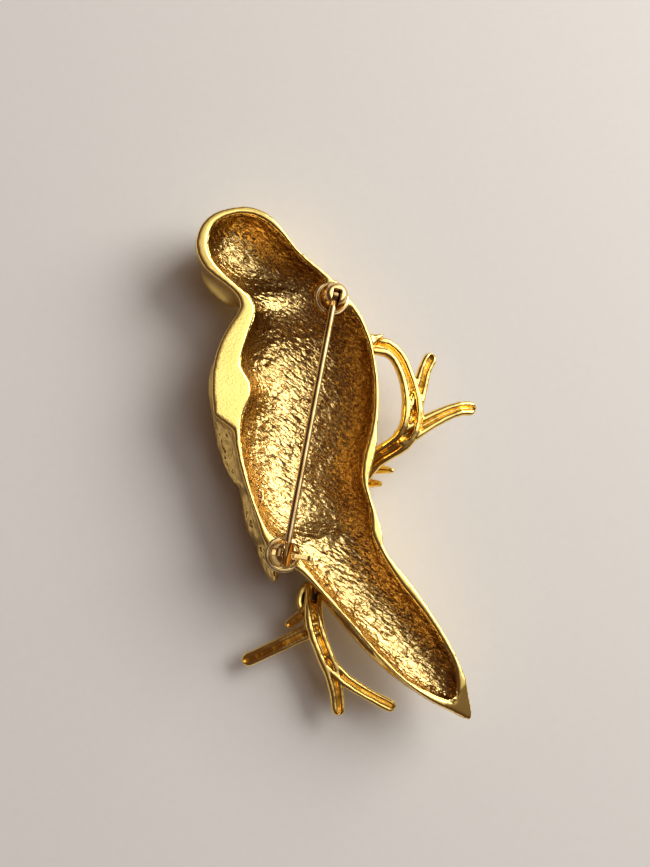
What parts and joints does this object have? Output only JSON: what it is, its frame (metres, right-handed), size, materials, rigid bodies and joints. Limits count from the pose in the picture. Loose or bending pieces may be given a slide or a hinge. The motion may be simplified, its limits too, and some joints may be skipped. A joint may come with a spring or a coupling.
{
  "type": "brooch",
  "caption": "Cast gold-plated bird brooch on a branch, open hollow back, with a hinged pin stem and a turning safety catch.",
  "frame": {"origin": "under the middle of the brooch, level with its lowest point as it lies on its front", "axes": "+Z out of the open back, +Y towards the head, +X towards the side with the branch's loop"},
  "size_m": [0.0418, 0.0722, 0.0138],
  "materials": {
    "cast_gold": "bright gold plating, polished on the rim and front, rippled as cast inside the hollow",
    "findings_gold": "bright gold plating on smooth stamped findings",
    "pin_wire": "gold-plated drawn wire, lightly dulled",
    "eye_glass": "polished dark glass cabochon",
    "leaf_glass": "faceted blue-green glass with a foiled back"
  },
  "bodies": {
    "casting": {"bird_body": "cast_gold", "branch": "cast_gold", "eye_stone": "eye_glass", "leaf_stone": "leaf_glass", "hinge_patch": "findings_gold", "hinge_knuckle": "findings_gold", "hinge_rivet": "findings_gold", "catch_patch": "findings_gold", "catch_housing": "findings_gold"},
    "pin": {"pin_stem": "pin_wire"},
    "lock": {"catch_rotor": "findings_gold"}
  },
  "joints": [
    {"name": "pin_swing", "type": "hinge", "parent": "casting", "child": "pin", "pos_m": [-0.00135, 0.02329, 0.01185], "axis": [-0.9824, 0.1867, 0], "range_deg": [0, 90]},
    {"name": "catch_turn", "type": "hinge", "parent": "casting", "child": "lock", "pos_m": [-0.00825, -0.013, 0.01185], "axis": [-0.1867, -0.9824, 0], "range_deg": [0, 105]}
  ]
}
